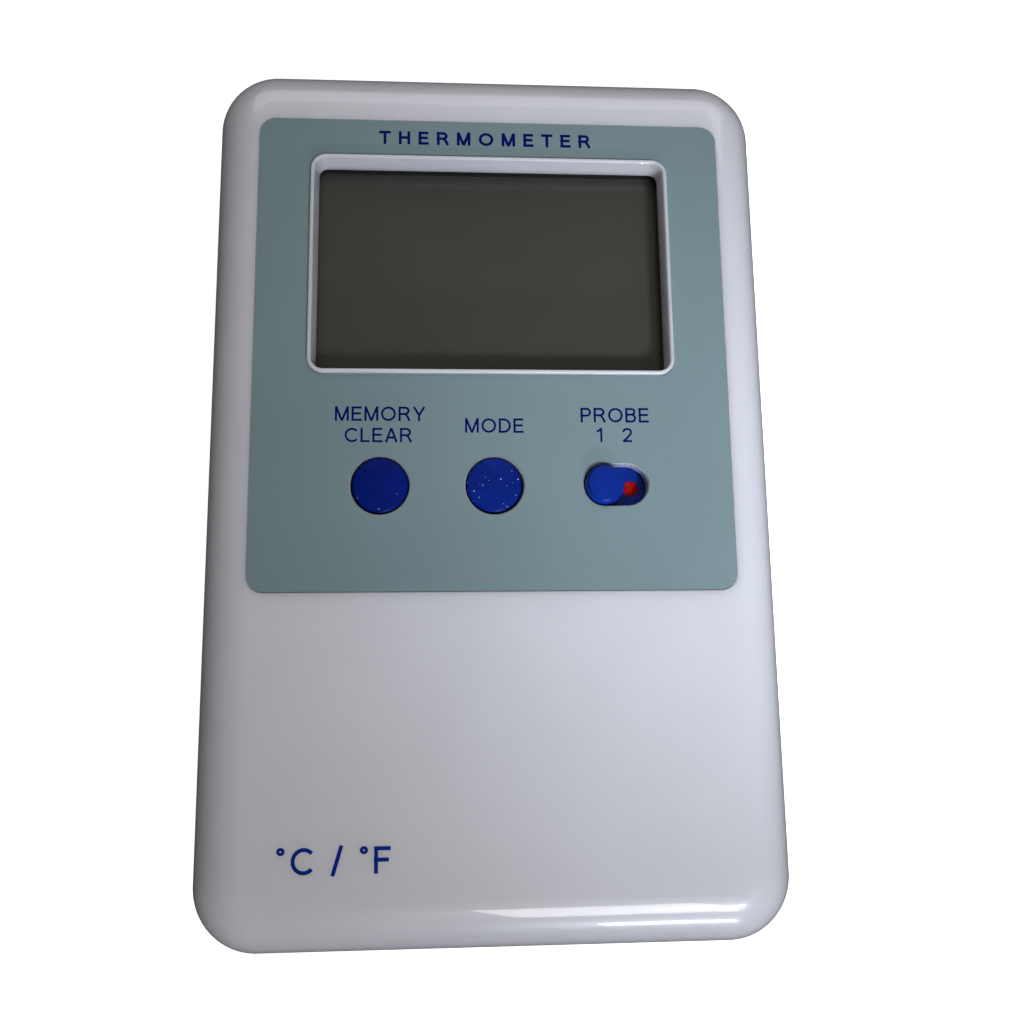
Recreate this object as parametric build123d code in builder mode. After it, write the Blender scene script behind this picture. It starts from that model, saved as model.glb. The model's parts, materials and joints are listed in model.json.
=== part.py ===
from build123d import *
import math
import os

# Pocket digital thermometer with two probe sockets. All sizes in millimetres.
# It lies on its back: +Z out of the front face, +Y towards the top edge, +X to the right
# as its display is read. The origin is under the middle of the case, in the plane of the back.

os.makedirs("parts", exist_ok=True)

# Case halves
case_width = 69.0
case_height = 108.0
face_z = 18.5  # back plane to front face
plan_corner = 7.6
front_round = 5.8
rear_round = 2.5
inner_round = 3.2
side_wall = 2.0
front_wall = 2.1
rear_wall = 2.0
seam_chamfer = 0.2
lip_height = 1.4
lip_gap = 0.1  # all round the tongue of the rear half

# Display: window, glass sandwich and their seat
window_opening = (43.0, 26.7)  # at its inner end
window_corner = 1.1
window_draft = 8.0  # degrees, the opening widens towards the front
window_x = 0.0
window_y = 26.85
ridge_width = 0.82
ridge_rise = 0.5
ridge_round = 0.2
ridge_corner = 1.95
window_land = 1.5  # glued rim of the window behind the wall
window_thickness = 1.0
window_gap = 0.1
frame_lip = 0.3
frame_lip_step = 0.15  # how far the frame's lip stands back from the opening
frame_wall = 1.3
glass_size = (47.0, 31.0)
glass_thickness = 0.7
glass_gap = 0.2
ledge_width = 2.6
film_inset = 0.25
polarizer_thickness = 0.15
reflector_thickness = 0.2
zebra_height = 2.55
zebra_width = 2.0
zebra_length = 44.0

# Printed overlay on the front
label_size = (57.5, 59.6)
label_x = 0.04
label_y = 16.15
label_corner = 1.95
label_thickness = 0.25
label_recess = 0.3
label_gap = 0.09
label_slip = 0.04  # the film is laid a little high in its recess
label_hole_gap = 0.1

# Push buttons
button_row_y = -1.06
memory_x = -13.5
mode_x = 0.1
button_radius = 3.27
button_hole_gap = 0.23
button_travel = 0.4
button_sag = 0.25
button_edge = 0.18
memory_play = (0.08, 0.0)  # how far each cap lies off the middle of its hole
mode_play = (-0.06, 0.05)
button_flange = 1.1
flange_thickness = 0.7
flange_gap = 0.1
switch_size = 6.0
switch_corner = 0.4
switch_clearance = 0.1
plunger_radius = 1.75
plunger_gap = 0.1
plunger_proud = 0.8
plunger_depth = 1.6
plunger_stop = 0.05  # left under the plunger when its key is fully pressed
cover_thickness = 0.2
dome_thickness = 0.1
dome_gap = 0.02  # between a snap dome and its plunger

# Slide selector
selector_x = 13.28
selector_y = -0.97
selector_travel = 2.8
knob_radius = 2.4
knob_rise = 1.0
knob_side_gap = 0.15
knob_end_gap = 0.11
knob_top_radius = 2.2
knob_edge = 0.2
knob_crown = 0.1
plate_thickness = 0.6
plate_gap = 0.3
plate_cover = 0.45
plate_half_height = 3.4
dot_radius = 0.95
dot_rise = 0.2
dot_offset = (3.48, -0.08)
dot_seat = 0.3  # the drop of enamel fills a dimple
slide_switch_size = (12.0, 5.0)
slide_switch_wall = 0.6
slide_pin_pitch = 3.0
lever_size = 1.6
lever_gap = 0.1
lever_reach = 1.0  # into the knob
socket_size = 3.4

# Circuit board and what it carries
board_thickness = 1.6
board_half_width = 25.0
board_bottom_y = -10.0
board_edge_gap = 1.0
board_screw_x = 22.0
board_screw_low_y = -7.0
board_screw_drop = 3.8  # upper screws below the board's top edge
board_boss_radius = 2.0
board_screw_radius = 0.8
board_head_radius = 1.6
board_head_height = 1.0
thread_gap = 0.02
blob_radius = 6.0
blob_rise = 1.4
blob_y = 26.0
crystal_radius = 1.0
crystal_ends = (-16.0, -10.0)
crystal_y = 12.0
capacitor_size = (2.0, 1.25, 0.9)
capacitor_places = [(-14, 20), (-14, 23), (12, 18), (12, 21), (8, 36), (-8, 36)]
resistor_size = (1.6, 0.8, 0.5)
resistor_start = (14.0, 25.0)
resistor_pitch = (3.0, 1.6)
resistor_counts = (2, 4)

# Probe sockets for 2.5 mm plugs
jack_x = 8.0
jack_body = (6.0, 9.9, 5.0)
jack_bore_radius = 1.3
jack_bore_depth = 11.0
jack_nose_radius = 2.3
jack_nose_gap = 0.05
jack_nose_recess = 0.3
terminal_drops = ((0, 6.7), (-2.0, 4.3), (2.0, 1.9))  # across, and down from the shoulder
terminal_radius = 0.45
terminal_gap = 0.05
terminal_proud = 0.7

# AAA cell, its bay and contacts
cell_diameter = 10.5
cell_length = 44.5
cell_nub_radius = 1.9
cell_nub_height = 0.9
cell_chamfer = 0.4
cell_y = -27.0
cell_clearance = 0.45
leaf_room = 3.6
plate_room = 0.9
bay_wall = 1.2
contact_thickness = 0.3
contact_width = 6.0
tab_width = 3.0
tab_proud = 1.0
contact_lift = 1.5  # lower edge of both contacts above the underside of the cell
contact_nose_radius = 1.5
contact_side_gap = 0.1
leaf_top_drop = 0.4
leaf_tip = (0.9, 3.6)  # tip of the leaf, in from its root and above the cell's axis
leaf_bends = (0.5, 1.2)
tab_overlap = 0.6
lead_radius = 0.45
lead_bend = 1.3
lead_straight = 8.5
lead_end_x = 18.5
lead_end_margin = 1.6
foam_size = (24.0, 4.0, 0.5)
foam_gap = 0.1

# Battery door, hinged along its upper edge
door_thickness = 1.6
door_sink = 0.1
door_rest = 0.5
door_gap = 0.15
door_height = 14.9
door_barrel_radius = 1.0
door_barrel_gap = 0.2
door_pin_radius = 0.6
door_pin_length = 0.8
pin_gap = 0.05
grip_groove = (14.0, 0.6, 0.3)
grip_pitch = 1.6
grip_margin = 2.0
grip_count = 4
finger_dip_radius = 4.0
finger_dip_depth = 1.0

# Fold-out stand, a U-shaped frame in a channel of the back
stand_hinge_y = 2.0
stand_foot_y = -45.5
stand_rib = 1.85  # wall between the door's seat and the channel
stand_gap = 0.2
arm_width = 3.2
crossbar_width = 4.5
stand_thickness = 2.4
stand_sink = 0.1
channel_depth = 2.6
channel_floor = 1.4
stand_pin_radius = 0.8
stand_pin_length = 1.5
stand_foot_round = 1.5

# Case screws, magnets and rear label
screw_edge_x = 6.5
screw_top_drop = 6.5
screw_bottom_drop = 5.1
screw_radius = 1.1
screw_head_radius = 2.0
screw_head_height = 1.4
screw_length = 9.0
cross_share = (1.1, 0.26, 0.55)  # cross recess: arm, blade and depth as shares of the head
post_radius = 2.9
boss_radius = 2.4
head_gap = 0.3
shank_gap = 0.15
magnet_radius = 5.0
magnet_thickness = 2.0
magnet_gap = 0.05
magnet_x = 18.0
magnet_y = 40.0
rear_label_size = (42.0, 15.0)
rear_label_y = 22.0
rear_label_thickness = 0.1
rear_label_recess = 0.15

# Heights worked out from the front face down
wall_z = face_z - front_wall
crest_z = face_z + ridge_rise
window_low_z = wall_z - window_thickness
frame_top_z = window_low_z - window_gap
polarizer_top_z = frame_top_z - frame_lip
glass_top_z = polarizer_top_z - polarizer_thickness
ledge_z = glass_top_z - glass_thickness
rear_glass_low_z = ledge_z - glass_thickness
board_front_z = ledge_z - zebra_height
board_rear_z = board_front_z - board_thickness
seam_z = board_rear_z - jack_body[2] / 2  # the halves part across the sockets
flange_low_z = wall_z - flange_gap - flange_thickness
switch_top_z = flange_low_z - button_travel - switch_clearance
plunger_top_z = switch_top_z + plunger_proud
selector_top_z = wall_z - plate_gap
selector_low_z = selector_top_z - plate_thickness

# Places worked out from the sizes above
half_width = case_width / 2
half_height = case_height / 2
jack_front_y = half_height - jack_nose_recess
jack_shoulder_y = half_height - side_wall - door_gap
board_top_y = half_height - side_wall - board_edge_gap
screw_places = [
    (side * (half_width - screw_edge_x), y)
    for side in (-1, 1)
    for y in (half_height - screw_top_drop, screw_bottom_drop - half_height)
]
board_screw_places = [
    (side * board_screw_x, y)
    for side in (-1, 1)
    for y in (board_top_y - board_screw_drop, board_screw_low_y)
]
bay_half = (cell_length + leaf_room + plate_room) / 2
bay_low_y = cell_y - cell_diameter / 2 - cell_clearance
bay_high_y = cell_y + cell_diameter / 2 + cell_clearance
door_inner_z = door_sink + door_thickness
cell_z = door_inner_z + foam_size[2] + foam_gap + cell_diameter / 2
bay_top_z = cell_z + cell_diameter / 2 + cell_clearance
cell_tip_x = bay_half - plate_room
door_half = bay_half + door_rest
door_axis_y = bay_high_y + door_rest + door_barrel_radius + door_gap
door_axis_z = door_sink + door_barrel_radius
door_low_y = door_axis_y - door_height
arm_inner = door_half + door_gap + stand_rib + stand_gap
arm_outer = arm_inner + arm_width
stand_barrel_radius = stand_thickness / 2
stand_axis_z = stand_sink + stand_barrel_radius
slot_radius = knob_radius + knob_side_gap
slot_low_x = selector_x - knob_radius - knob_end_gap
slot_high_x = selector_x + selector_travel + knob_radius + knob_end_gap
plate_low_x = slot_low_x - selector_travel - plate_cover
plate_high_x = slot_high_x + plate_cover
button_hole_radius = button_radius + button_hole_gap
window_middle = (window_x, window_y)
mouth_growth = (crest_z - wall_z) * math.tan(math.radians(window_draft))
button_places = {"memory": memory_x, "mode": mode_x}


# A block between two opposite corners, its upright edges rounded.
def block(low, high, corner=0.0, mode=Mode.ADD):
    size_x = high[0] - low[0]
    size_y = high[1] - low[1]
    with BuildSketch(Plane.XY.offset(low[2])) as outline:
        with Locations(((low[0] + high[0]) / 2, (low[1] + high[1]) / 2)):
            if corner > 0:
                RectangleRounded(size_x, size_y, corner)
            else:
                Rectangle(size_x, size_y)
    extrude(outline.sketch, amount=high[2] - low[2], mode=mode)


# A centred block: its middle in plan, its plan size and its two heights.
def centred(middle, size, low_z, high_z, corner=0.0, mode=Mode.ADD):
    low = (middle[0] - size[0] / 2, middle[1] - size[1] / 2, low_z)
    high = (middle[0] + size[0] / 2, middle[1] + size[1] / 2, high_z)
    block(low, high, corner, mode)


# Upright cylinders of one radius at several places.
def posts(places, radius, low_z, high_z, mode=Mode.ADD):
    with BuildSketch(Plane.XY.offset(low_z)) as rounds:
        with Locations(*places):
            Circle(radius)
    extrude(rounds.sketch, amount=high_z - low_z, mode=mode)


# A round bar along X, from one x to another.
def bar_x(low_x, high_x, y, z, radius, mode=Mode.ADD):
    with BuildSketch(Plane.YZ.offset(low_x)) as section:
        with Locations((y, z)):
            Circle(radius)
    extrude(section.sketch, amount=high_x - low_x, mode=mode)


# A round bar along Y, from one y to another.
def bar_y(x, z, low_y, high_y, radius, mode=Mode.ADD):
    start = Plane(origin=(x, low_y, z), x_dir=(1, 0, 0), z_dir=(0, 1, 0))
    with BuildSketch(start) as section:
        Circle(radius)
    extrude(section.sketch, amount=high_y - low_y, mode=mode)


# The upright plane through a place, whose sketch is turned about that place.
def turning_plane(x, y):
    return Plane(origin=(x, y, 0), x_dir=(1, 0, 0), z_dir=(0, -1, 0))


# The selector's slot, grown by a margin.
def slot(low_z, high_z, margin, mode):
    length = slot_high_x - slot_low_x + 2 * margin
    with BuildSketch(Plane.XY.offset(low_z)) as outline:
        with Locations(((slot_low_x + slot_high_x) / 2, selector_y)):
            SlotOverall(length, 2 * (slot_radius + margin))
    extrude(outline.sketch, amount=high_z - low_z, mode=mode)


# An arc of a dome centred on its axis, from the rim in to the top, in (radius, z).
# A negative rise gives a dome that hangs down.
def dome_arc(radius, rim_z, rise):
    ball = (radius**2 + rise**2) / (2 * rise)
    half = radius / 2
    drop = abs(ball) - (ball**2 - half**2) ** 0.5
    top_z = rim_z + rise
    middle_z = top_z - drop if rise > 0 else top_z + drop
    return ThreePointArc((radius, rim_z), (half, middle_z), (0, top_z))


# The outline of the case, drawn in by a margin, between two heights.
def case_prism(margin, low_z, high_z, mode=Mode.ADD):
    size = (case_width - 2 * margin, case_height - 2 * margin)
    centred((0, 0), size, low_z, high_z, plan_corner - margin, mode)


# The round holes that the socket noses pass through, along Y.
def nose_holes():
    for side in (-1, 1):
        radius = jack_nose_radius + jack_nose_gap
        low_y = half_height - side_wall - post_radius / 2
        bar_y(side * jack_x, seam_z, low_y, half_height + 1, radius, Mode.SUBTRACT)


# The window's opening, which narrows from the crest of the ridge down to the pane.
def window_mouth():
    with BuildSketch(Plane.XY.offset(crest_z)) as outline:
        with Locations(window_middle):
            wide = (window_opening[0] + 2 * mouth_growth, window_opening[1] + 2 * mouth_growth)
            RectangleRounded(*wide, window_corner + mouth_growth)
    extrude(outline.sketch, amount=wall_z - crest_z, taper=window_draft, mode=Mode.SUBTRACT)


def save(piece, name):
    piece.part.label = name
    export_step(piece.part, f"parts/{name}.step")


ridge_size = (window_opening[0] + 2 * ridge_width, window_opening[1] + 2 * ridge_width)

# Front half: deep shell with the window, ridge, label recess, holes and bosses.
with BuildPart() as front_case:
    case_prism(0, seam_z, face_z)
    fillet(front_case.faces().sort_by(Axis.Z)[-1].edges(), front_round)
    chamfer(front_case.faces().sort_by(Axis.Z)[0].edges(), seam_chamfer)
    recess = (label_size[0] + 2 * label_gap, label_size[1] + 2 * label_gap)
    recess_z = face_z - label_recess
    recess_middle = (label_x, label_y - label_slip)
    centred(recess_middle, recess, recess_z, face_z, label_corner + label_gap, Mode.SUBTRACT)
    with BuildPart(mode=Mode.PRIVATE) as cavity:
        case_prism(side_wall, seam_z, wall_z)
        fillet(cavity.faces().sort_by(Axis.Z)[-1].edges(), inner_round)
    add(cavity.part, mode=Mode.SUBTRACT)
    with BuildPart(mode=Mode.PRIVATE) as ridge:
        centred(window_middle, ridge_size, recess_z, crest_z, ridge_corner)
        window_mouth()
        fillet(ridge.faces().sort_by(Axis.Z)[-1].edges(), ridge_round)
    add(ridge.part)
    window_mouth()
    button_centres = [(x, button_row_y) for x in button_places.values()]
    posts(button_centres, button_hole_radius, wall_z, face_z, Mode.SUBTRACT)
    slot(wall_z, face_z, 0, Mode.SUBTRACT)
    posts(screw_places, boss_radius, seam_z, wall_z)
    posts(screw_places, screw_radius + thread_gap, seam_z, wall_z - rear_wall / 2, Mode.SUBTRACT)
    posts(board_screw_places, board_boss_radius, board_front_z, wall_z)
    pilot = board_screw_radius + thread_gap
    posts(board_screw_places, pilot, board_front_z, wall_z - rear_wall / 2, Mode.SUBTRACT)
    with BuildPart(mode=Mode.PRIVATE) as groove:
        case_prism(side_wall / 2 + lip_gap / 2, seam_z, seam_z + lip_height + lip_gap)
        case_prism(side_wall, seam_z, seam_z + lip_height + lip_gap, Mode.SUBTRACT)
    add(groove.part, mode=Mode.SUBTRACT)
    nose_holes()
save(front_case, "front_case")

# Rear half: shallow pan with the stand's channel, the cell bay, posts and magnet pockets.
channel_inner = arm_inner - stand_gap
channel_outer = arm_outer + stand_gap
channel_low_y = stand_foot_y - stand_gap
channel_high_y = stand_hinge_y + stand_barrel_radius + 1.5 * stand_gap
crossbar_high_y = stand_foot_y + crossbar_width + stand_gap
surround_z = channel_depth + channel_floor
with BuildPart() as rear_case:
    case_prism(0, 0, seam_z)
    fillet(rear_case.faces().sort_by(Axis.Z)[0].edges(), rear_round)
    chamfer(rear_case.faces().sort_by(Axis.Z)[-1].edges(), seam_chamfer)
    case_prism(side_wall, rear_wall, seam_z, Mode.SUBTRACT)
    with BuildPart(mode=Mode.PRIVATE) as tongue:
        case_prism(side_wall / 2 + lip_gap * 1.5, seam_z - lip_height, seam_z + lip_height)
        case_prism(side_wall, seam_z - lip_height, seam_z + lip_height, Mode.SUBTRACT)
    add(tongue.part)
    # raised floor over the stand's channel, out to the side walls
    with BuildPart(mode=Mode.PRIVATE) as surround:
        edge_x = half_width - side_wall
        low_y = channel_low_y - channel_floor
        high_y = channel_high_y + channel_floor
        block((-edge_x, low_y, rear_wall), (edge_x, high_y, surround_z))
        inner_x = channel_inner - channel_floor
        inner_y = crossbar_high_y + channel_floor
        block((-inner_x, inner_y, rear_wall), (inner_x, high_y, surround_z), 0, Mode.SUBTRACT)
    add(surround.part)
    # the bay round the cell, with its floor thickened round the door's seat
    pad_z = door_inner_z + door_gap + rear_wall
    pad_half = door_half + door_gap + stand_rib
    pad_low_y = door_low_y - door_gap - rear_wall
    pad_high_y = door_axis_y + door_barrel_radius + door_barrel_gap + rear_wall
    block((-pad_half, pad_low_y, rear_wall), (pad_half, pad_high_y, pad_z))
    block(
        (-bay_half - bay_wall, bay_low_y - bay_wall, rear_wall),
        (bay_half + bay_wall, bay_high_y + bay_wall, bay_top_z + bay_wall),
    )
    block((-bay_half, bay_low_y, 0), (bay_half, bay_high_y, bay_top_z), 0, Mode.SUBTRACT)
    for side in (-1, 1):
        slot_x = side * (bay_half - plate_room / 2)
        centred(
            (slot_x, cell_y),
            (plate_room, tab_width + 2 * lip_gap),
            bay_top_z,
            bay_top_z + bay_wall,
            0,
            Mode.SUBTRACT,
        )
    # the door's seat and the groove for its barrel
    seat_half = door_half + door_gap
    seat_top_z = door_inner_z + door_gap
    block((-seat_half, door_low_y - door_gap, 0), (seat_half, door_axis_y, seat_top_z), 0, Mode.SUBTRACT)
    groove_radius = door_barrel_radius + door_barrel_gap
    bar_x(-seat_half, seat_half, door_axis_y, door_axis_z, groove_radius, Mode.SUBTRACT)
    mouth_y = door_axis_y + groove_radius
    block((-seat_half, door_axis_y, 0), (seat_half, mouth_y, door_axis_z), 0, Mode.SUBTRACT)
    pin_hole = door_pin_radius + pin_gap
    pin_reach = seat_half + door_pin_length
    bar_x(-pin_reach, pin_reach, door_axis_y, door_axis_z, pin_hole, Mode.SUBTRACT)
    # posts for the case screws, counterbored from the back
    posts(screw_places, post_radius, rear_wall, seam_z)
    head_seat_z = screw_head_height + head_gap
    posts(screw_places, screw_head_radius + head_gap, 0, head_seat_z, Mode.SUBTRACT)
    posts(screw_places, screw_radius + shank_gap, 0, seam_z, Mode.SUBTRACT)
    # U-shaped channel for the stand
    with BuildPart(mode=Mode.PRIVATE) as channel:
        block((-channel_outer, channel_low_y, 0), (channel_outer, channel_high_y, channel_depth))
        block(
            (-channel_inner, crossbar_high_y, 0),
            (channel_inner, channel_high_y, channel_depth),
            0,
            Mode.SUBTRACT,
        )
    add(channel.part, mode=Mode.SUBTRACT)
    stand_hole = stand_pin_radius + pin_gap
    hole_reach = channel_outer + stand_pin_length
    for side in (-1, 1):
        ends = sorted((side * channel_outer, side * hole_reach))
        bar_x(ends[0], ends[1], stand_hinge_y, stand_axis_z, stand_hole, Mode.SUBTRACT)
    # finger dips beside the stand's foot and the door's free edge
    for dip_y, dip_radius in (
        (channel_low_y, finger_dip_radius + 1),
        (door_low_y - door_gap, finger_dip_radius),
    ):
        posts([(0, dip_y)], dip_radius, 0, finger_dip_depth, Mode.SUBTRACT)
    # magnet pockets in thickened floor, and the recess for the rear label
    magnet_places = [(side * magnet_x, magnet_y) for side in (-1, 1)]
    pocket_depth = magnet_thickness + magnet_gap
    pocket_radius = magnet_radius + magnet_gap
    posts(magnet_places, pocket_radius + rear_wall / 2, rear_wall, pocket_depth + rear_wall / 2)
    posts(magnet_places, pocket_radius, 0, pocket_depth, Mode.SUBTRACT)
    label_pocket = (rear_label_size[0] + 2 * label_gap, rear_label_size[1] + 2 * label_gap)
    centred((0, rear_label_y), label_pocket, 0, rear_label_recess, label_corner, Mode.SUBTRACT)
    nose_holes()
save(rear_case, "rear_case")

# Printed overlay: a film with openings for the ridge, the caps and the slot.
with BuildPart() as overlay_label:
    film_top = recess_z + label_thickness
    centred((label_x, label_y), label_size, recess_z, film_top, label_corner)
    opening = (ridge_size[0] + 2 * label_hole_gap, ridge_size[1] + 2 * label_hole_gap)
    centred(window_middle, opening, recess_z, film_top, ridge_corner + label_hole_gap, Mode.SUBTRACT)
    posts(button_centres, button_hole_radius + label_hole_gap, recess_z, film_top, Mode.SUBTRACT)
    slot(recess_z, film_top, label_hole_gap, Mode.SUBTRACT)
save(overlay_label, "overlay_label")

with BuildPart() as display_window:
    pane = (window_opening[0] + 2 * window_land, window_opening[1] + 2 * window_land)
    centred(window_middle, pane, window_low_z, wall_z, window_corner)
save(display_window, "display_window")

# Display glass: polarizer, front glass with its contact ledge free, rear glass, reflector.
glass_low_y = window_y - glass_size[1] / 2
glass_high_y = window_y + glass_size[1] / 2
glass_low_x = window_x - glass_size[0] / 2
glass_high_x = window_x + glass_size[0] / 2
rear_low_y = glass_low_y + ledge_width
with BuildPart() as lcd_polarizer:
    low = (glass_low_x + film_inset, glass_low_y + film_inset, glass_top_z)
    high = (glass_high_x - film_inset, glass_high_y - film_inset, polarizer_top_z)
    block(low, high)
save(lcd_polarizer, "lcd_polarizer")

with BuildPart() as lcd_front_glass:
    block((glass_low_x, glass_low_y, ledge_z), (glass_high_x, glass_high_y, glass_top_z))
save(lcd_front_glass, "lcd_front_glass")

with BuildPart() as lcd_rear_glass:
    block((glass_low_x, rear_low_y, rear_glass_low_z), (glass_high_x, glass_high_y, ledge_z))
save(lcd_rear_glass, "lcd_rear_glass")

with BuildPart() as lcd_reflector:
    low_z = rear_glass_low_z - reflector_thickness
    low = (glass_low_x + film_inset, rear_low_y + film_inset, low_z)
    high = (glass_high_x - film_inset, glass_high_y - film_inset, rear_glass_low_z)
    block(low, high)
save(lcd_reflector, "lcd_reflector")

with BuildPart() as lcd_frame:
    pocket = (glass_size[0] + 2 * glass_gap, glass_size[1] + 2 * glass_gap)
    outer = (pocket[0] + 2 * frame_wall, pocket[1] + 2 * frame_wall)
    centred(window_middle, outer, board_front_z, frame_top_z, frame_wall)
    centred(window_middle, pocket, board_front_z, polarizer_top_z, 0, Mode.SUBTRACT)
    lip = (window_opening[0] + 2 * frame_lip_step, window_opening[1] + 2 * frame_lip_step)
    centred(window_middle, lip, polarizer_top_z, frame_top_z, window_corner, Mode.SUBTRACT)
save(lcd_frame, "lcd_frame")

with BuildPart() as zebra_strip:
    low = (window_x - zebra_length / 2, glass_low_y + glass_gap, board_front_z)
    block(low, (low[0] + zebra_length, low[1] + zebra_width, ledge_z))
save(zebra_strip, "zebra_strip")

# Circuit board, drilled for its screws, the socket terminals and the slide switch pins.
terminal_places = [
    (side * jack_x + across, jack_shoulder_y - back)
    for side in (-1, 1)
    for across, back in terminal_drops
]
slide_middle_x = selector_x + selector_travel / 2
slide_pin_places = [(slide_middle_x + step * slide_pin_pitch, selector_y) for step in (-1, 0, 1)]
with BuildPart() as circuit_board:
    low = (-board_half_width, board_bottom_y, board_rear_z)
    block(low, (board_half_width, board_top_y, board_front_z))
    posts(board_screw_places, board_screw_radius + shank_gap, board_rear_z, board_front_z, Mode.SUBTRACT)
    drilled = terminal_places + slide_pin_places
    posts(drilled, terminal_radius + terminal_gap, board_rear_z, board_front_z, Mode.SUBTRACT)
save(circuit_board, "circuit_board")

# Parts on the back of the board
with BuildPart() as controller_blob:
    with BuildSketch(turning_plane(0, blob_y)):
        with BuildLine():
            dome_arc(blob_radius, board_rear_z, -blob_rise)
            Polyline((0, board_rear_z - blob_rise), (0, board_rear_z), (blob_radius, board_rear_z))
        make_face()
    revolve(axis=Axis((0, blob_y, 0), (0, 0, 1)))
save(controller_blob, "controller_blob")

with BuildPart() as timing_crystal:
    bar_x(*crystal_ends, crystal_y, board_rear_z - crystal_radius, crystal_radius)
save(timing_crystal, "timing_crystal")

with BuildPart() as chip_capacitors:
    for place in capacitor_places:
        centred(place, capacitor_size, board_rear_z - capacitor_size[2], board_rear_z)
save(chip_capacitors, "chip_capacitors")

with BuildPart() as chip_resistors:
    for column in range(resistor_counts[0]):
        for row in range(resistor_counts[1]):
            x = resistor_start[0] + column * resistor_pitch[0]
            y = resistor_start[1] + row * resistor_pitch[1]
            centred((x, y), resistor_size, board_rear_z - resistor_size[2], board_rear_z)
save(chip_resistors, "chip_resistors")

# Push-button caps: domed head, flange behind the wall, shallow seat on the plunger.
cap_names = {"memory": "memory_clear_button", "mode": "mode_button"}
cap_plays = {"memory": memory_play, "mode": mode_play}
for key, hole_x in button_places.items():
    x = hole_x + cap_plays[key][0]
    y = button_row_y + cap_plays[key][1]
    with BuildPart() as cap:
        flange_radius = button_radius + button_flange
        with BuildSketch(turning_plane(x, y)):
            with BuildLine():
                dome_arc(button_radius - button_edge, face_z, button_sag)
                Polyline(
                    (button_radius - button_edge, face_z),
                    (button_radius, face_z - button_edge),
                    (button_radius, flange_low_z + flange_thickness),
                    (flange_radius, flange_low_z + flange_thickness),
                    (flange_radius, flange_low_z),
                    (0, flange_low_z),
                    (0, face_z + button_sag),
                )
            make_face()
        revolve(axis=Axis((x, y, 0), (0, 0, 1)))
        seat_radius = plunger_radius + plunger_gap
        posts([(x, y)], seat_radius, flange_low_z, plunger_top_z, Mode.SUBTRACT)
    save(cap, cap_names[key])

# Key switches under the caps: housings, metal covers, plungers and snap domes.
switch_well_z = switch_top_z - plunger_depth - button_travel - plunger_stop
well_radius = plunger_radius + plunger_gap
with BuildPart() as key_switch_housings:
    for x in button_places.values():
        size = (switch_size, switch_size)
        centred((x, button_row_y), size, board_front_z, switch_top_z - cover_thickness)
    posts(button_centres, well_radius, switch_well_z, switch_top_z, Mode.SUBTRACT)
save(key_switch_housings, "key_switch_housings")

with BuildPart() as key_switch_covers:
    for x in button_places.values():
        size = (switch_size, switch_size)
        low_z = switch_top_z - cover_thickness
        centred((x, button_row_y), size, low_z, switch_top_z, switch_corner)
    posts(button_centres, well_radius, switch_top_z - cover_thickness, switch_top_z, Mode.SUBTRACT)
save(key_switch_covers, "key_switch_covers")

dome_radius = well_radius - plunger_gap
dome_rise = button_travel + plunger_stop - dome_thickness - dome_gap
for key, x in button_places.items():
    with BuildPart() as plunger:
        posts([(x, button_row_y)], plunger_radius, switch_top_z - plunger_depth, plunger_top_z)
    save(plunger, f"{key}_switch_plunger")
    with BuildPart() as dome:
        with BuildSketch(turning_plane(x, button_row_y)):
            with BuildLine():
                rim_z = switch_well_z + dome_thickness
                dome_arc(dome_radius, rim_z, dome_rise)
                Line((dome_radius, rim_z), (dome_radius, switch_well_z))
                dome_arc(dome_radius, switch_well_z, dome_rise)
                Line((0, switch_well_z + dome_rise), (0, rim_z + dome_rise))
            make_face()
        revolve(axis=Axis((x, button_row_y, 0), (0, 0, 1)))
    save(dome, f"{key}_switch_dome")

# Slide selector: crowned round knob on a plate, with a well underneath for the switch lever.
with BuildPart() as probe_selector:
    low = (plate_low_x, selector_y - plate_half_height, selector_low_z)
    high = (plate_high_x, selector_y + plate_half_height, selector_top_z)
    block(low, high)
    knob_rim_z = face_z + knob_rise - knob_crown
    with BuildSketch(turning_plane(selector_x, selector_y)):
        with BuildLine():
            dome_arc(knob_top_radius - knob_edge, knob_rim_z, knob_crown)
            Polyline(
                (knob_top_radius - knob_edge, knob_rim_z),
                (knob_top_radius, knob_rim_z - knob_edge),
                (knob_radius, face_z),
                (knob_radius, selector_low_z),
                (0, selector_low_z),
                (0, knob_rim_z + knob_crown),
            )
        make_face()
    revolve(axis=Axis((selector_x, selector_y, 0), (0, 0, 1)))
    socket_low_z = switch_top_z + switch_clearance
    well_top_z = selector_low_z + lever_reach
    centred((selector_x, selector_y), (socket_size, socket_size), socket_low_z, selector_low_z)
    hole = (lever_size + lever_gap, lever_size + lever_gap)
    centred((selector_x, selector_y), hole, socket_low_z, well_top_z, 0, Mode.SUBTRACT)
    dot_place = (selector_x + dot_offset[0], selector_y + dot_offset[1])
    posts([dot_place], dot_radius, selector_top_z - dot_seat, selector_top_z, Mode.SUBTRACT)
save(probe_selector, "probe_selector")

with BuildPart() as selector_dot:
    with BuildSketch(turning_plane(*dot_place)):
        with BuildLine():
            dome_arc(dot_radius, selector_top_z, dot_rise)
            Polyline(
                (dot_radius, selector_top_z),
                (dot_radius, selector_top_z - dot_seat),
                (0, selector_top_z - dot_seat),
                (0, selector_top_z + dot_rise),
            )
        make_face()
    revolve(axis=Axis((*dot_place, 0), (0, 0, 1)))
save(selector_dot, "selector_dot")

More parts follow.
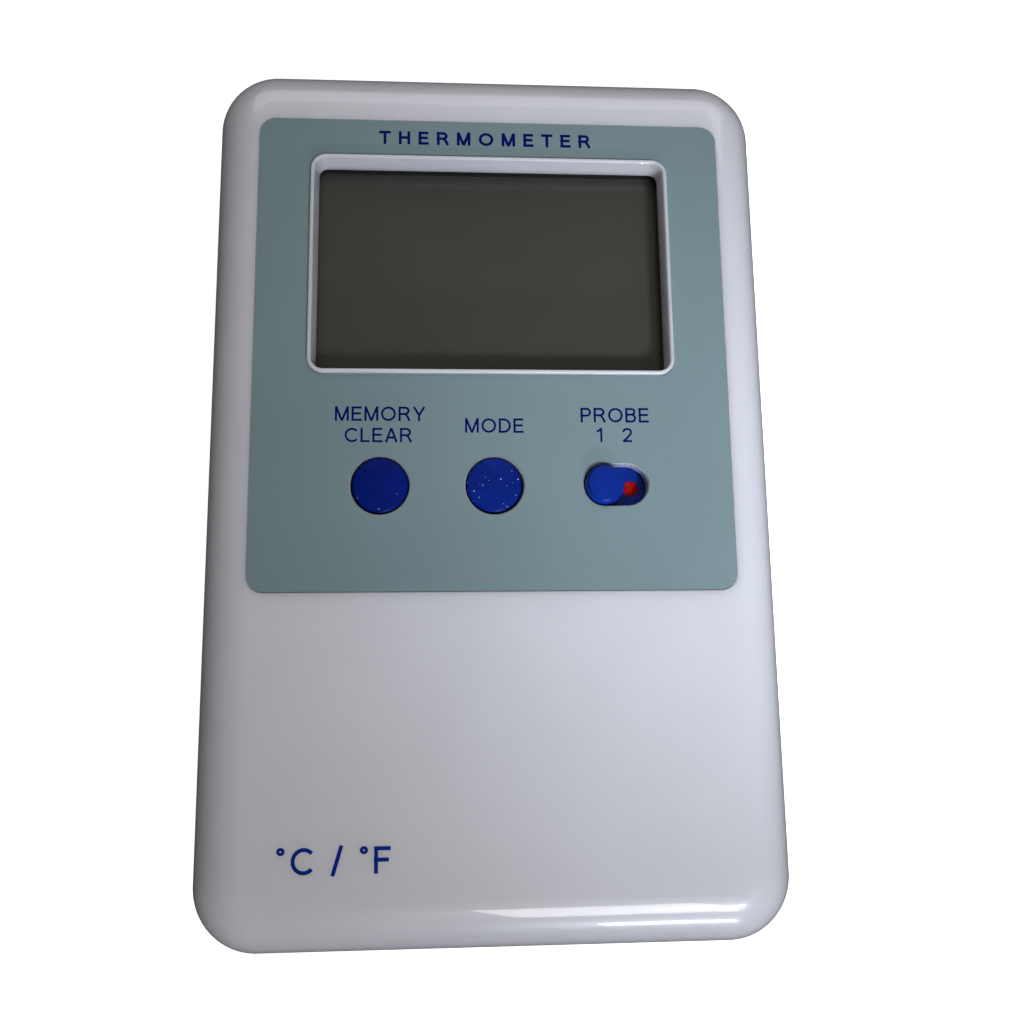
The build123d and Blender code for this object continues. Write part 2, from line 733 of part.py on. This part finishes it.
# Slide switch: hollow shell open on top, lever with a foot, and pins.
with BuildPart() as slide_switch_shell:
    middle = (slide_middle_x, selector_y)
    centred(middle, slide_switch_size, board_front_z, switch_top_z, switch_corner)
    inside = (slide_switch_size[0] - 2 * slide_switch_wall, slide_switch_size[1] - 2 * slide_switch_wall)
    inside_low_z = board_front_z + slide_switch_wall
    inside_top_z = switch_top_z - slide_switch_wall
    centred(middle, inside, inside_low_z, inside_top_z, 0, Mode.SUBTRACT)
    window = (selector_travel + lever_size + 4 * lever_gap, lever_size + 4 * lever_gap)
    centred(middle, window, inside_top_z, switch_top_z, 0, Mode.SUBTRACT)
save(slide_switch_shell, "slide_switch_shell")

with BuildPart() as slide_switch_lever:
    foot = (lever_size + 3 * slide_switch_wall, inside[1] - 4 * lever_gap)
    foot_top_z = inside_top_z - lever_gap
    centred((selector_x, selector_y), foot, inside_low_z + lever_gap, foot_top_z)
    lever = (lever_size, lever_size)
    centred((selector_x, selector_y), lever, foot_top_z, well_top_z - lever_gap)
save(slide_switch_lever, "slide_switch_lever")

with BuildPart() as slide_switch_pins:
    posts(slide_pin_places, terminal_radius, board_rear_z - terminal_proud, board_front_z)
save(slide_switch_pins, "slide_switch_pins")

# Probe sockets on the back of the board, noses through the top edge of the case.
socket_names = {-1: "probe_socket_one", 1: "probe_socket_two"}
for side, name in socket_names.items():
    with BuildPart() as socket:
        x = side * jack_x
        middle = (x, jack_shoulder_y - jack_body[1] / 2)
        centred(middle, jack_body[:2], board_rear_z - jack_body[2], board_rear_z)
        bar_y(x, seam_z, jack_shoulder_y, jack_front_y, jack_nose_radius)
        bar_y(x, seam_z, jack_front_y - jack_bore_depth, jack_front_y, jack_bore_radius, Mode.SUBTRACT)
    save(socket, name)

with BuildPart() as socket_terminals:
    posts(terminal_places, terminal_radius, board_rear_z, board_front_z + terminal_proud)
save(socket_terminals, "socket_terminals")

# The cell, lying across the case with its nub to the right
with BuildPart() as battery_cell:
    shoulder_x = cell_tip_x - cell_nub_height
    bar_x(cell_tip_x - cell_length, shoulder_x, cell_y, cell_z, cell_diameter / 2)
    chamfer(battery_cell.edges().filter_by(GeomType.CIRCLE), cell_chamfer)
    bar_x(shoulder_x, cell_tip_x, cell_y, cell_z, cell_nub_radius)
save(battery_cell, "battery_cell")

# Contacts: strips bent from sheet, each with a solder tab through the roof of the bay.
tab_top_z = bay_top_z + bay_wall + tab_proud
contact_low_z = cell_z - cell_diameter / 2 + contact_lift
plate_x = bay_half - contact_side_gap - contact_thickness / 2
tip_gap = contact_thickness / 2
with BuildPart() as battery_plus_contact:
    plate_top_z = bay_top_z - leaf_top_drop
    block(
        (plate_x - tip_gap, cell_y - contact_width / 2, contact_low_z),
        (plate_x + tip_gap, cell_y + contact_width / 2, plate_top_z),
    )
    block(
        (plate_x - tip_gap, cell_y - tab_width / 2, plate_top_z),
        (plate_x + tip_gap, cell_y + tab_width / 2, tab_top_z),
    )
    bar_x(cell_tip_x, plate_x - tip_gap, cell_y, cell_z, contact_nose_radius)
save(battery_plus_contact, "battery_plus_contact")

cell_end_x = cell_tip_x - cell_length
with BuildPart() as battery_spring_contact:
    middle_plane = Plane(origin=(0, cell_y + contact_width / 2, 0), x_dir=(1, 0, 0), z_dir=(0, -1, 0))
    with BuildSketch(middle_plane):
        with BuildLine():
            FilletPolyline(
                (-plate_x, plate_top_z),
                (-plate_x, contact_low_z),
                (cell_end_x - tip_gap, cell_z),
                (leaf_tip[0] - plate_x, cell_z + leaf_tip[1]),
                radius=leaf_bends,
            )
        trace(line_width=contact_thickness)
    extrude(amount=contact_width)
    block(
        (-plate_x - tip_gap, cell_y - tab_width / 2, bay_top_z - tab_overlap),
        (-plate_x + tip_gap, cell_y + tab_width / 2, tab_top_z),
    )
save(battery_spring_contact, "battery_spring_contact")

# Leads from the solder tabs to the board
lead_end = (lead_end_x, board_bottom_y + lead_end_margin)
lead_z = tab_top_z - lead_radius
for side, name in ((1, "battery_lead_plus"), (-1, "battery_lead_minus")):
    with BuildPart() as lead:
        start_y = cell_y + tab_width / 2
        with BuildLine() as route:
            FilletPolyline(
                (side * plate_x, start_y, lead_z),
                (side * plate_x, start_y + lead_straight, lead_z),
                (side * lead_end[0], lead_end[1], lead_z),
                (side * lead_end[0], lead_end[1], board_front_z),
                radius=lead_bend,
            )
        with BuildSketch(Plane(origin=route.line @ 0, z_dir=route.line % 0)):
            Circle(lead_radius)
        sweep(path=route.line)
    save(lead, name)

# Battery door: plate with a barrel and two pins on its upper edge, grip grooves outside.
with BuildPart() as battery_door:
    block((-door_half, door_low_y, door_sink), (door_half, door_axis_y, door_inner_z))
    bar_x(-door_half, door_half, door_axis_y, door_axis_z, door_barrel_radius)
    pin_end = door_half + door_gap + door_pin_length - pin_gap
    bar_x(-pin_end, pin_end, door_axis_y, door_axis_z, door_pin_radius)
    for step in range(grip_count):
        place = (0, door_low_y + grip_margin + step * grip_pitch)
        centred(place, grip_groove[:2], door_sink, door_sink + grip_groove[2], 0, Mode.SUBTRACT)
save(battery_door, "battery_door")

with BuildPart() as battery_foam:
    centred((0, cell_y), foam_size, door_inner_z, door_inner_z + foam_size[2])
save(battery_foam, "battery_foam")

# Stand: U-shaped frame on two pins, with a rounded foot
with BuildPart() as stand:
    top_z = stand_sink + stand_thickness
    block((-arm_outer, stand_foot_y, stand_sink), (arm_outer, stand_hinge_y, top_z))
    inner_y = stand_foot_y + crossbar_width
    block((-arm_inner, inner_y, stand_sink), (arm_inner, stand_hinge_y, top_z), 0, Mode.SUBTRACT)
    corners = stand.edges().filter_by(Axis.Z).group_by(Axis.Y)[0]
    fillet(corners, stand_foot_round)
    for side in (-1, 1):
        barrel = sorted((side * arm_inner, side * arm_outer))
        bar_x(barrel[0], barrel[1], stand_hinge_y, stand_axis_z, stand_barrel_radius)
        pin_tip = channel_outer + stand_pin_length - pin_gap
        pin = sorted((side * arm_outer, side * pin_tip))
        bar_x(pin[0], pin[1], stand_hinge_y, stand_axis_z, stand_pin_radius)
save(stand, "stand")

with BuildPart() as rear_magnets:
    posts(magnet_places, magnet_radius, magnet_gap, pocket_depth)
save(rear_magnets, "rear_magnets")

with BuildPart() as rear_label:
    low_z = rear_label_recess - rear_label_thickness
    centred((0, rear_label_y), rear_label_size, low_z, rear_label_recess, label_corner - label_gap)
save(rear_label, "rear_label")

# Screws: pan heads with a cross recess, shanks in their pilot holes
def screws(places, head_low_z, head_radius, head_height, shank_radius, length):
    shank_z = head_low_z + head_height
    posts(places, head_radius, head_low_z, shank_z)
    posts(places, shank_radius, shank_z, shank_z + length)
    arm = head_radius * cross_share[0]
    blade = head_radius * cross_share[1]
    deep = head_low_z + head_height * cross_share[2]
    for x, y in places:
        centred((x, y), (arm, blade), head_low_z, deep, 0, Mode.SUBTRACT)
        centred((x, y), (blade, arm), head_low_z, deep, 0, Mode.SUBTRACT)


with BuildPart() as case_screws:
    screws(screw_places, head_gap, screw_head_radius, screw_head_height, screw_radius, screw_length)
save(case_screws, "case_screws")

with BuildPart() as board_screws:
    head_z = board_rear_z - board_head_height
    thread = wall_z - board_rear_z - rear_wall
    screws(board_screw_places, head_z, board_head_radius, board_head_height, board_screw_radius, thread)
save(board_screws, "board_screws")
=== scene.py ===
import bpy
import json
import math
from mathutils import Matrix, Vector


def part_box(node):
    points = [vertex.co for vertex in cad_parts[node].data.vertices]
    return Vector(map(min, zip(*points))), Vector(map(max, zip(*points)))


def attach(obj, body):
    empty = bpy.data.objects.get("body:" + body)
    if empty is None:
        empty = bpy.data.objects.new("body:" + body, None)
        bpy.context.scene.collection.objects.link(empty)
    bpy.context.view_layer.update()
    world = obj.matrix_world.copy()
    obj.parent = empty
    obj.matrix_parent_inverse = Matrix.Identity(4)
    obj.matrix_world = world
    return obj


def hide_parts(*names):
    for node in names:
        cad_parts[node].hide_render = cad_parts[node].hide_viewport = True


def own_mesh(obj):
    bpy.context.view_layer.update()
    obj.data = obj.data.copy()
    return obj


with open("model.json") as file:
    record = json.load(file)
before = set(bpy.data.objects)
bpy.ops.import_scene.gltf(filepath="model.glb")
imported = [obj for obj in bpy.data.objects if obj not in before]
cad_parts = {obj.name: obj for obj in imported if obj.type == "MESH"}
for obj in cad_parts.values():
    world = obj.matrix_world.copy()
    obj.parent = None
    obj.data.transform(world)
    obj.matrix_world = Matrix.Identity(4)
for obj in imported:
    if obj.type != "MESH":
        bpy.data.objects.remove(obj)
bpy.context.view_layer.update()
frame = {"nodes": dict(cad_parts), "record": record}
record = frame["record"]
nodes = frame["nodes"]
mm = 0.001  # sizes below are in millimetres unless a note says otherwise
print("frame loaded,", len(nodes), "nodes")

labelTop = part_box("overlay_label")[1].z

studio = {
    "cameraPlace": (-6.11, -26.99, 122.35),  # from the middle of the face
    "cameraTurn": (10.53, -3.70, -0.79),  # degrees about X, Y and Z
    "lens": 37.02,
    "sensor": 36.0,
    "near": 0.005,  # metres
    "far": 20.0,
    "worldColor": (1.0, 0.90, 0.86),
    "worldStrength": 0.055,
    "floorSize": 2.4,  # metres
    "floorLow": -0.2,
    "floorColor": (0.9, 0.9, 0.9),
    "floorRough": 0.9,
    "floorGlow": 0.85,
}

# each lamp: where it hangs, what it points at, its sides or its cone, power and tint
lamps = {
    "window": {
        "place": (85, -325, 406), "aim": (20, -10, 18), "size": (130, 170),
        "power": 0.42, "color": (1.0, 0.97, 0.97)},
    "lowWindow": {
        "place": (110, -470, 183), "aim": (20, -10, 18), "size": (70, 40),
        "power": 0.72, "color": (0.82, 0.87, 1.0)},
    "key": {
        "place": (150, -250, 330), "aim": (29, 3, 18), "cone": 15.5, "radius": 30,
        "power": 6.9, "color": (0.78, 0.86, 1.0)},
    "panel": {
        "place": (19, 85, 420), "aim": (19, 85, 18), "size": (320, 480),
        "power": 0.12, "color": (1.0, 0.98, 0.86)},
    "top": {
        "place": (40, 520, 420), "aim": (10, 10, 18), "size": (800, 380),
        "power": 1.4, "color": (0.92, 0.91, 1.0)},
}


def hangLamp(name, look):
    light = bpy.data.lights.new(name + "Lamp", "SPOT" if "cone" in look else "AREA")
    if "cone" in look:
        light.spot_size = math.radians(look["cone"])
        light.spot_blend = 1.0
        light.shadow_soft_size = look["radius"] * mm
    else:
        light.shape = "RECTANGLE"
        light.size, light.size_y = (side * mm for side in look["size"])
    light.energy = look["power"]
    light.color = look["color"]
    lamp = bpy.data.objects.new(name + "Lamp", light)
    lamp.location = Vector(look["place"]) * mm
    lamp.rotation_euler = (Vector(look["aim"]) * mm - lamp.location).to_track_quat("-Z", "Y").to_euler()
    bpy.context.scene.collection.objects.link(lamp)


def makeStudio():
    scene = bpy.context.scene
    scene.view_settings.view_transform = "Standard"
    camera = bpy.data.cameras.new("camera")
    camera.lens = studio["lens"]
    camera.sensor_width = studio["sensor"]
    camera.clip_start = studio["near"]
    camera.clip_end = studio["far"]
    cameraObject = bpy.data.objects.new("camera", camera)
    place = Vector(studio["cameraPlace"]) * mm
    cameraObject.location = (place.x, place.y, place.z + labelTop)
    cameraObject.rotation_euler = [math.radians(angle) for angle in studio["cameraTurn"]]
    scene.collection.objects.link(cameraObject)
    scene.camera = cameraObject
    for name, look in lamps.items():
        hangLamp(name, look)
    world = bpy.data.worlds.new("studio")
    world.use_nodes = True
    background = world.node_tree.nodes["Background"]
    background.inputs["Color"].default_value = (*studio["worldColor"], 1)
    background.inputs["Strength"].default_value = studio["worldStrength"]
    scene.world = world
    bpy.ops.object.select_all(action="DESELECT")
    bpy.ops.mesh.primitive_plane_add(size=studio["floorSize"], location=(0, 0, studio["floorLow"] * mm))
    floor = bpy.context.active_object
    floor.name = "floor"
    paper = bpy.data.materials.new("floorPaper")
    paper.use_nodes = True
    shader = paper.node_tree.nodes["Principled BSDF"]
    shader.inputs["Base Color"].default_value = (*studio["floorColor"], 1)
    shader.inputs["Roughness"].default_value = studio["floorRough"]
    shader.inputs["Emission Color"].default_value = (1, 1, 1, 1)
    shader.inputs["Emission Strength"].default_value = studio["floorGlow"]
    floor.data.materials.append(paper)
    floor.visible_diffuse = False  # the paper's own light stays off the case
    floor.visible_glossy = False
    print("studio ready")


# colour and how far it drifts, roughness and shine, grain per metre and its height in millimetres,
# the share of cells that hold a fleck of dust, and how deep light soaks in
finishes = {
    "case_white": {
        "color": (0.79, 0.78, 0.80), "drift": 0.02, "rough": 0.32, "coat": 1.0, "coatRough": 0.025,
        "grain": 700, "depth": 0.002, "glowDepth": 4.5},
    "overlay_film": {
        "color": (0.208, 0.287, 0.292), "drift": 0.03, "speck": 0.10, "rough": 0.5, "shine": 0.12,
        "grain": 9000, "depth": 0.012},
    "button_blue": {
        "color": (0.0, 0.010, 0.165), "drift": 0.16, "rough": 0.34, "shine": 0.10,
        "clouds": 500.0, "grain": 6000, "depth": 0.012, "dust": 0.05},
    "button_dusty": {
        "color": (0.0, 0.015, 0.20), "drift": 0.18, "rough": 0.34, "shine": 0.14,
        "clouds": 500.0, "grain": 6000, "depth": 0.012, "dust": 0.40},
    "selector_blue": {
        "color": (0.0, 0.023, 0.26), "drift": 0.16, "rough": 0.27, "shine": 0.22,
        "clouds": 400.0, "grain": 4500, "depth": 0.02},
    "dot_red": {
        "color": (0.39, 0.001, 0.001), "drift": 0.1, "rough": 0.07, "shine": 0.25,
        "grain": 2000, "depth": 0.004},
    "lcd_film": {
        "color": (0.062, 0.062, 0.050), "drift": 0.05, "rough": 0.07,
        "grain": 1500, "depth": 0.0006},
    "frame_black": {
        "color": (0.012, 0.012, 0.012), "drift": 0.2, "rough": 0.45,
        "grain": 3000, "depth": 0.01},
    "board_green": {
        "color": (0.02, 0.13, 0.05), "drift": 0.15, "rough": 0.35,
        "grain": 2500, "depth": 0.01},
    "inkNavy": {
        "color": (0.0, 0.003, 0.11), "drift": 0.15, "rough": 0.5, "shine": 0.05,
        "grain": 9000, "depth": 0.006},
    "inkBlue": {
        "color": (0.0, 0.022, 0.25), "drift": 0.15, "rough": 0.45, "shine": 0.08,
        "grain": 9000, "depth": 0.006},
}

dustFlecks = {
    "cells": 2800.0,  # per metre
    "size": 0.24,  # largest, as a share of a cell
    "color": (0.45, 0.48, 0.58),
}

softGlow = {
    "share": 0.7,
    "reach": (1.0, 0.95, 0.9),  # red, green and blue, as shares of the depth
}

# finishes that only their class and colour tell, such as the metals and rubbers inside
plainFinish = {"drift": 0.1, "rough": 0.35, "grain": 3000, "depth": 0.01}
metalClasses = ("brushed_steel", "chrome", "brass")
calmClouds = 60.0  # patches of colour drift per metre, where a finish names none
wear = 0.15  # how far the roughness drifts, as a share of it


def addNode(tree, kind, values=(), inputs=None):
    node = tree.nodes.new(kind)
    for name, value in dict(values).items():
        setattr(node, name, value)
    for name, value in (inputs or {}).items():
        node.inputs[name].default_value = value
    return node


def mixColors(tree, share, first, second, blend="MIX"):
    mix = addNode(tree, "ShaderNodeMix", {"data_type": "RGBA", "blend_type": blend})
    for socket, value in ((mix.inputs[0], share), (mix.inputs[6], first), (mix.inputs[7], second)):
        if hasattr(value, "links"):
            tree.links.new(value, socket)
        else:
            socket.default_value = value
    return mix.outputs[2]


def makeFinish(name, look):
    material = bpy.data.materials.new(name)
    material.use_nodes = True
    tree = material.node_tree
    shader = tree.nodes["Principled BSDF"]
    place = addNode(tree, "ShaderNodeTexCoord").outputs["Object"]
    clouds = addNode(tree, "ShaderNodeTexNoise", {}, {"Scale": look.get("clouds", calmClouds), "Detail": 3.0})
    tree.links.new(place, clouds.inputs["Vector"])
    ramp = addNode(tree, "ShaderNodeValToRGB").color_ramp
    for element, spot, sign in ((ramp.elements[0], 0.3, -1), (ramp.elements[1], 0.7, 1)):
        element.position = spot
        element.color = (*[min(1.0, channel * (1 + sign * look["drift"])) for channel in look["color"]], 1)
    rampNode = tree.nodes[-1]
    tree.links.new(clouds.outputs["Fac"], rampNode.inputs["Fac"])
    color = rampNode.outputs["Color"]
    grain = addNode(tree, "ShaderNodeTexNoise", {}, {"Scale": look["grain"], "Detail": 2.0})
    tree.links.new(place, grain.inputs["Vector"])
    if "speck" in look:  # fine uneven printing
        spread = {"To Min": 1 - look["speck"], "To Max": 1 + look["speck"]}
        level = addNode(tree, "ShaderNodeMapRange", {}, spread)
        tree.links.new(grain.outputs["Fac"], level.inputs["Value"])
        color = mixColors(tree, 1.0, color, level.outputs["Result"], "MULTIPLY")
    if "dust" in look:  # small pale flecks, only in some of the cells
        cells = addNode(tree, "ShaderNodeTexVoronoi", {}, {"Scale": dustFlecks["cells"]})
        tree.links.new(place, cells.inputs["Vector"])
        split = addNode(tree, "ShaderNodeSeparateColor")
        tree.links.new(cells.outputs["Color"], split.inputs["Color"])
        chosen = addNode(tree, "ShaderNodeMath", {"operation": "LESS_THAN"}, {1: look["dust"]})
        tree.links.new(split.outputs["Red"], chosen.inputs[0])
        size = addNode(tree, "ShaderNodeMath", {"operation": "MULTIPLY"}, {1: dustFlecks["size"]})
        tree.links.new(split.outputs["Green"], size.inputs[0])
        near = addNode(tree, "ShaderNodeMath", {"operation": "LESS_THAN"})
        tree.links.new(cells.outputs["Distance"], near.inputs[0])
        tree.links.new(size.outputs[0], near.inputs[1])
        fleck = addNode(tree, "ShaderNodeMath", {"operation": "MULTIPLY"})
        tree.links.new(chosen.outputs[0], fleck.inputs[0])
        tree.links.new(near.outputs[0], fleck.inputs[1])
        color = mixColors(tree, fleck.outputs[0], color, (*dustFlecks["color"], 1))
    tree.links.new(color, shader.inputs["Base Color"])
    spread = {"To Min": look["rough"] * (1 - wear), "To Max": look["rough"] * (1 + wear)}
    gloss = addNode(tree, "ShaderNodeMapRange", {}, spread)
    tree.links.new(clouds.outputs["Fac"], gloss.inputs["Value"])
    tree.links.new(gloss.outputs["Result"], shader.inputs["Roughness"])
    bump = addNode(tree, "ShaderNodeBump", {}, {"Distance": look["depth"] * mm})
    tree.links.new(grain.outputs["Fac"], bump.inputs["Height"])
    tree.links.new(bump.outputs["Normal"], shader.inputs["Normal"])
    shader.inputs["Metallic"].default_value = look.get("metal", 0.0)
    shader.inputs["Coat Weight"].default_value = look.get("coat", 0.0)
    shader.inputs["Coat Roughness"].default_value = look.get("coatRough", 0.05)
    shader.inputs["Specular IOR Level"].default_value = look.get("shine", 0.5)
    if "glowDepth" in look:  # light that soaks into pale plastic
        shader.inputs["Subsurface Weight"].default_value = softGlow["share"]
        shader.inputs["Subsurface Radius"].default_value = softGlow["reach"]
        shader.inputs["Subsurface Scale"].default_value = look["glowDepth"] * mm
    return material


materials = {name: makeFinish(name, look) for name, look in finishes.items()}

# clear and tinted panes: colour and how much of it is seen
panes = {
    "window_clear": ((0.02, 0.02, 0.02), 0.06),
    "lcd_glass": ((0.10, 0.11, 0.09), 0.4),
}
paneHaze = {"patches": 90.0, "low": 0.02, "high": 0.05}


def makePane(name, tint, share):
    material = bpy.data.materials.new(name)
    material.use_nodes = True
    tree = material.node_tree
    shader = tree.nodes["Principled BSDF"]
    place = addNode(tree, "ShaderNodeTexCoord").outputs["Object"]
    haze = addNode(tree, "ShaderNodeTexNoise", {}, {"Scale": paneHaze["patches"], "Detail": 2.0})
    tree.links.new(place, haze.inputs["Vector"])
    level = addNode(tree, "ShaderNodeMapRange", {}, {"To Min": paneHaze["low"], "To Max": paneHaze["high"]})
    tree.links.new(haze.outputs["Fac"], level.inputs["Value"])
    tree.links.new(level.outputs["Result"], shader.inputs["Roughness"])
    shader.inputs["Base Color"].default_value = (*tint, 1)
    shader.inputs["Alpha"].default_value = share
    return material


for name, (tint, share) in panes.items():
    materials[name] = makePane(name, tint, share)


def paint(nodeName, finish):
    for slot in nodes[nodeName].material_slots:
        slot.material = materials[finish]


for part in record["subparts"]:
    finish = part["material_slot"]
    if finish not in materials:
        known = [row for row in record["materials"] if row["slot"] == finish][0]
        metal = 1.0 if known["class"] in metalClasses else 0.0
        look = dict(plainFinish, color=tuple(known["base_color"][:3]), metal=metal)
        materials[finish] = makeFinish(finish, look)
    paint(part["node"], finish)
paint("mode_button", "button_dusty")
print("finishes on")


# thin steel domes under the keys, copied from the modelled ones
snapDomes = {
    "gap": 0.02,  # left under the pressed plunger
    "merge": 0.0005,  # points nearer than this become one
    "crease": 30,  # degrees
    "keys": {
        "memory": "memory_clear_press",
        "mode": "mode_press",
    },
}


def makeSnapDome(key):
    dome = nodes[key + "_switch_dome"]
    piece = bpy.data.objects.new(key + "SnapDome", dome.data.copy())
    bpy.context.scene.collection.objects.link(piece)
    bpy.ops.object.select_all(action="DESELECT")
    piece.select_set(True)
    bpy.context.view_layer.objects.active = piece
    bpy.ops.object.mode_set(mode="EDIT")
    bpy.ops.mesh.select_all(action="SELECT")
    bpy.ops.mesh.remove_doubles(threshold=snapDomes["merge"] * mm)
    bpy.ops.object.mode_set(mode="OBJECT")
    bpy.ops.object.shade_smooth_by_angle(angle=math.radians(snapDomes["crease"]))
    piece.data.materials.clear()
    piece.data.materials.append(materials["tin_steel"])
    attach(piece, "case")
    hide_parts(dome.name)
    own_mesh(piece)


for key, joint in snapDomes["keys"].items():
    makeSnapDome(key)
print("snap domes in")


printing = {
    "sink": 0.02,  # how far the ink reaches into the surface below
    "proud": 0.008,  # how far it stands above
    "step": 0.0002,  # so that no two crossing strokes lie in one plane
    "degreePen": 0.8,  # of the pen of the other letters
    "caseProud": 0.05,  # the bare front of the case over the top of the overlay
    "words": {
        # letters, left and base of the line, right and top of the capitals,
        # gap and pen as shares of the height of a capital, ink
        "wordTitle": ("THERMOMETER", (-13.95, 42.74), (12.75, 44.52), 0.46, 0.20, "inkNavy"),
        "wordMemory": ("MEMORY", (-18.88, 6.77), (-8.14, 8.55), 0.15, 0.14, "inkNavy"),
        "wordClear": ("CLEAR", (-17.70, 4.16), (-9.72, 5.91), 0.15, 0.14, "inkNavy"),
        "wordMode": ("MODE", (-3.39, 5.36), (3.66, 7.14), 0.15, 0.14, "inkNavy"),
        "wordProbe": ("PROBE", (10.59, 6.70), (18.94, 8.51), 0.15, 0.14, "inkNavy"),
        "digitOne": ("1", (12.42, 4.25), (13.16, 5.99), 0.15, 0.14, "inkNavy"),
        "digitTwo": ("2", (15.62, 4.25), (16.82, 6.00), 0.15, 0.14, "inkNavy"),
        "wordUnits": ("*C / *F", (-24.4, -44.9), (-11.9, -42.0), 0.22, 0.15, "inkBlue"),
    },
}


# points on an oval, by its middle, its two radii and the angles it runs between
def oval(middle, radii, start, end, steps=20):
    turns = [math.radians(start + (end - start) * step / steps) for step in range(steps + 1)]
    midX, midY = middle
    return [(midX + radii[0] * math.cos(turn), midY + radii[1] * math.sin(turn)) for turn in turns]


# a bowl: along the top, round and back along the bottom
def bowl(turnX, right, low, high):
    curve = oval((turnX, (low + high) / 2), (right - turnX, (high - low) / 2), 90, -90, 14)
    return [(0, high)] + curve + [(0, low)]


# each letter: its width and the middle lines of its strokes, with a capital 1 high
def makeAlphabet(pen):
    half = pen / 2
    top = 1 - half
    stem = [(half, 0), (half, 1)]
    return {
        "A": (0.74, [[(0.05, 0), (0.37, 0.99)], [(0.69, 0), (0.37, 0.99)], [(0.16, 0.33), (0.58, 0.33)]]),
        "B": (0.66, [stem, bowl(0.38, 0.56, 0.54, top), bowl(0.38, 0.66 - half, half, 0.54)]),
        "C": (0.80, [oval((0.45, 0.5), (0.45 - half, 0.5 - half), 42, 318, 26)]),
        "D": (0.74, [stem, bowl(0.30, 0.74 - half, half, top)]),
        "E": (0.62, [stem, [(0, top), (0.60, top)], [(0, 0.52), (0.56, 0.52)], [(0, half), (0.62, half)]]),
        "F": (0.58, [stem, [(0, top), (0.58, top)], [(0, 0.51), (0.52, 0.51)]]),
        "H": (0.70, [stem, [(0.70 - half, 0), (0.70 - half, 1)], [(half, 0.52), (0.70 - half, 0.52)]]),
        "L": (0.56, [stem, [(0, half), (0.56, half)]]),
        "M": (0.84, [stem, [(0.84 - half, 0), (0.84 - half, 1)],
                     [(half, 1), (0.42, 0.02)], [(0.84 - half, 1), (0.42, 0.02)]]),
        "O": (0.90, [oval((0.45, 0.5), (0.45 - half, 0.5 - half), 0, 360, 36)]),
        "P": (0.64, [stem, bowl(0.38, 0.64 - half, 0.46, top)]),
        "R": (0.72, [stem, bowl(0.40, 0.67 - half, 0.49, top),
                     [(0.34, 0.49), (0.46, 0.44), (0.54, 0.31), (0.67, 0)]]),
        "T": (0.68, [[(0, top), (0.68, top)], [(0.34, 0), (0.34, top)]]),
        "Y": (0.74, [[(0.05, 1), (0.37, 0.40)], [(0.69, 1), (0.37, 0.40)], [(0.37, 0), (0.37, 0.44)]]),
        "1": (0.40, [[(0.34, 0), (0.34, 1)], [(0.04, 0.75), (0.20, 0.81), (0.30, 0.93), (0.33, 1)]]),
        "2": (0.62, [oval((0.31, 0.70), (0.245, 0.237), 176, -38, 16)
                     + [(0.27, 0.26), (0.12, 0.13), (0.07, half)],
                     [(0.02, half), (0.60, half)]]),
        "/": (0.40, [[(0.05, -0.06), (0.35, 1.06)]]),
        "*": (0.26, [oval((0.13, 0.87), (0.09, 0.09), 0, 360, 20)]),
        " ": (0.16, []),
    }


# adds one stroke of the pen to the mesh lists, as a closed flat strip
def addStroke(line, pen, low, high, points, faces):
    closed = math.dist(line[0], line[-1]) < 1e-6 * mm
    if closed:
        line = line[:-1]
    count = len(line)
    first = len(points)
    for step in range(count):
        before = line[step - 1] if step or closed else line[step]
        after = line[(step + 1) % count] if step < count - 1 or closed else line[step]
        along = (Vector(after) - Vector(before)).normalized()
        side = Vector((-along.y, along.x)) * pen / 2
        spot = Vector(line[step])
        left, right = spot + side, spot - side
        for edge, level in ((left, low), (right, low), (right, high), (left, high)):
            points.append((edge.x, edge.y, level))
    for step in range(count if closed else count - 1):
        here = first + 4 * step
        there = first + 4 * ((step + 1) % count)
        for corner in range(4):
            turn = (corner + 1) % 4
            faces.append((here + corner, here + turn, there + turn, there + corner))
    if not closed:
        last = first + 4 * (count - 1)
        faces.append((first + 3, first + 2, first + 1, first))
        faces.append((last, last + 1, last + 2, last + 3))


def printWord(name, letters, low, high, gap, penShare, ink, surface):
    height = (high[1] - low[1]) * mm
    alphabet = makeAlphabet(penShare)
    wide = sum(alphabet[letter][0] for letter in letters) + gap * (len(letters) - 1)
    scale = (high[0] - low[0]) * mm / wide
    cursor = 0.0
    points = []
    faces = []
    strokes = 0
    for letter in letters:
        width, lines = alphabet[letter]
        for line in lines:
            spots = [(low[0] * mm + (cursor + x) * scale, low[1] * mm + y * height) for x, y in line]
            lift = (printing["proud"] + printing["step"] * (strokes % 7)) * mm
            pen = penShare * height * (printing["degreePen"] if letter == "*" else 1.0)
            addStroke(spots, pen, surface - printing["sink"] * mm, surface + lift, points, faces)
            strokes += 1
        cursor += width + gap
    mesh = bpy.data.meshes.new(name)
    mesh.from_pydata(points, [], faces)
    piece = bpy.data.objects.new(name, mesh)
    bpy.context.scene.collection.objects.link(piece)
    bpy.ops.object.select_all(action="DESELECT")
    piece.select_set(True)
    bpy.context.view_layer.objects.active = piece
    bpy.ops.object.mode_set(mode="EDIT")
    bpy.ops.mesh.select_all(action="SELECT")
    bpy.ops.mesh.normals_make_consistent(inside=False)
    bpy.ops.object.mode_set(mode="OBJECT")
    mesh.materials.append(materials[ink])
    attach(piece, "case")


for name, word in printing["words"].items():
    rise = printing["caseProud"] * mm if name == "wordUnits" else 0.0
    printWord(name, *word, labelTop + rise)
print("words printed")


makeStudio()
